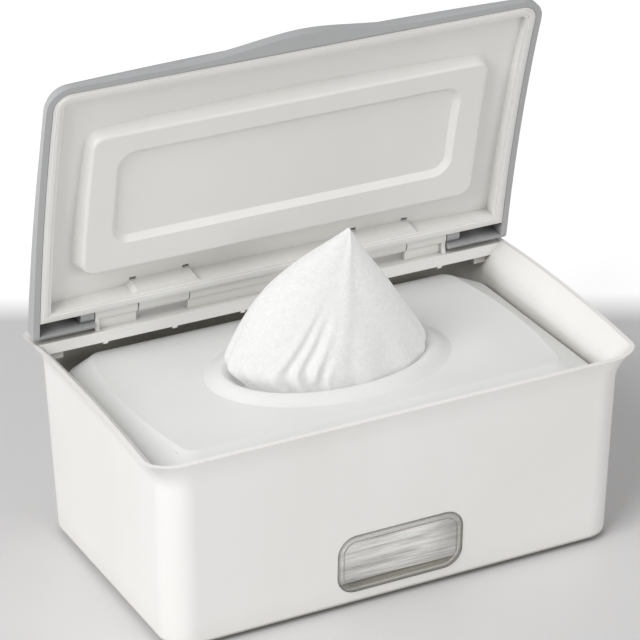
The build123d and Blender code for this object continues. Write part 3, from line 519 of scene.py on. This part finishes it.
def make_stack():
    """Folded wipes in bundles: rounded folds in fine uneven lines on the sides, a softly wavy top."""
    low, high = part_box("wipes_stack")
    bottom, top = low.z, high.z
    half_x, half_y, corner = (high.x - low.x) / 2, (high.y - low.y) / 2, STACK_CORNER
    middle = (low + high) / 2
    bundle = (top - bottom) / BUNDLES
    outline = []
    for x0, y0, x1, y1 in (
        (-half_x + corner, -half_y, half_x - corner, -half_y),
        (half_x, -half_y + corner, half_x, half_y - corner),
        (half_x - corner, half_y, -half_x + corner, half_y),
        (-half_x, half_y - corner, -half_x, -half_y + corner),
    ):
        length = math.hypot(x1 - x0, y1 - y0)
        count = max(2, round(length / STACK_STEP))
        for k in range(count + 1):
            share = k / count
            outline.append((x0 + (x1 - x0) * share, y0 + (y1 - y0) * share))
    rows = STACK_ROWS
    mesh = bpy.data.meshes.new("wipes_stack_layers")
    bm = bmesh.new()
    rings = []
    for row in range(rows + 1):
        z = bottom + (top - bottom) * row / rows
        ring = []
        for x, y in outline:
            wave = WAVE_HEIGHT * noise.noise(Vector((x * 22, y * 22, z * 14))) if 0 < row < rows else 0
            level = (z + wave - bottom) / bundle
            number, inside = math.floor(level), level % 1.0
            lump = math.sqrt(max(0.0, 1 - (2 * inside - 1) ** 2))
            leaf = LEAVES * level + 0.35 * noise.noise(Vector((x * 60, y * 60, level)))
            fine = abs(math.sin(math.pi * leaf))
            shift = SHIFT_DEPTH * noise.noise(Vector((number * 3.7, x * 9, y * 9)))
            inset = max(LEAST_INSET, SIDE_INSET - BUNDLE_BULGE * lump - LEAF_BULGE * fine - shift)
            in_x, in_y = x * (1 - inset / half_x), y * (1 - inset / half_y)
            ring.append(bm.verts.new((middle.x + in_x, middle.y + in_y, z)))
        rings.append(ring)
    count = len(outline)
    for a, b in zip(rings, rings[1:]):
        for k in range(count):
            bm.faces.new((a[k], a[(k + 1) % count], b[(k + 1) % count], b[k]))
    bm.faces.new(list(reversed(rings[0])))
    bm.faces.new(rings[-1])
    bm.normal_update()
    bm.to_mesh(mesh)
    bm.free()
    obj = new_piece("wipes_stack_layers", mesh, stack_cloth, "base")
    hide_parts("wipes_stack")
    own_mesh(obj)


make_stack()


# floor, world and lights

FLOOR_SIZE = 6.0
FLOOR_AWAY = (0.4617, 0.887)        # level direction in which the camera looks
FLOOR_EDGE = (0.212, 0.245)         # along it, the grey floor ends between these and turns white
FLOOR_GLOW = 0.34
WORLD_LIGHT = 0.40


def make_floor():
    """Pale floor that turns white behind the object."""
    mesh = bpy.data.meshes.new("floor")
    corners = [(-1, -1), (1, -1), (1, 1), (-1, 1)]
    mesh.from_pydata([(FLOOR_SIZE * x, FLOOR_SIZE * y, 0) for x, y in corners], [], [(0, 1, 2, 3)])
    obj = bpy.data.objects.new("floor", mesh)
    scene.collection.objects.link(obj)
    n = Nodes("floor")
    split = n.new("ShaderNodeSeparateXYZ")
    n.link(n.place, split.inputs["Vector"])
    along_x = n.math("MULTIPLY", split.outputs["X"], FLOOR_AWAY[0])
    along_y = n.math("MULTIPLY", split.outputs["Y"], FLOOR_AWAY[1])
    far = n.fit(n.math("ADD", along_x, along_y), *FLOOR_EDGE, 0, 1)
    grey = n.mix(n.fit(n.noise(3, 3), 0.3, 0.7, 0, 1), linear(220, 219, 219), linear(214, 213, 213))
    n.set(Base_Color=n.mix(far, grey, linear(250, 250, 250)))
    n.set(Roughness=n.fit(n.noise(12, 3), 0.3, 0.7, 0.4, 0.5))
    n.set(Emission_Color=(1, 1, 1, 1), Emission_Strength=n.math("MULTIPLY", far, FLOOR_GLOW))
    mesh.materials.append(n.material)


def area_light(name, place, aim, size, power):
    """Rectangular light at a place, turned towards its aim."""
    data = bpy.data.lights.new(name, "AREA")
    data.shape = "RECTANGLE"
    data.size, data.size_y = size
    data.energy = power
    obj = bpy.data.objects.new(name, data)
    scene.collection.objects.link(obj)
    obj.location = place
    obj.rotation_mode = "QUATERNION"
    obj.rotation_quaternion = (Vector(aim) - Vector(place)).to_track_quat("-Z", "Y")


make_floor()
world = bpy.data.worlds.new("studio")
world.use_nodes = True
background = world.node_tree.nodes["Background"]
background.inputs["Color"].default_value = (1, 1, 1, 1)
background.inputs["Strength"].default_value = WORLD_LIGHT
scene.world = world
area_light("key", (-2.19, -0.90, 1.92), (0, 0, 0.07), (1.9, 1.9), 74)
area_light("front", (1.1, -2.2, 0.9), (0, 0, 0.08), (1.2, 0.9), 12)
scene.view_settings.view_transform = "Standard"
scene.view_settings.look = "None"
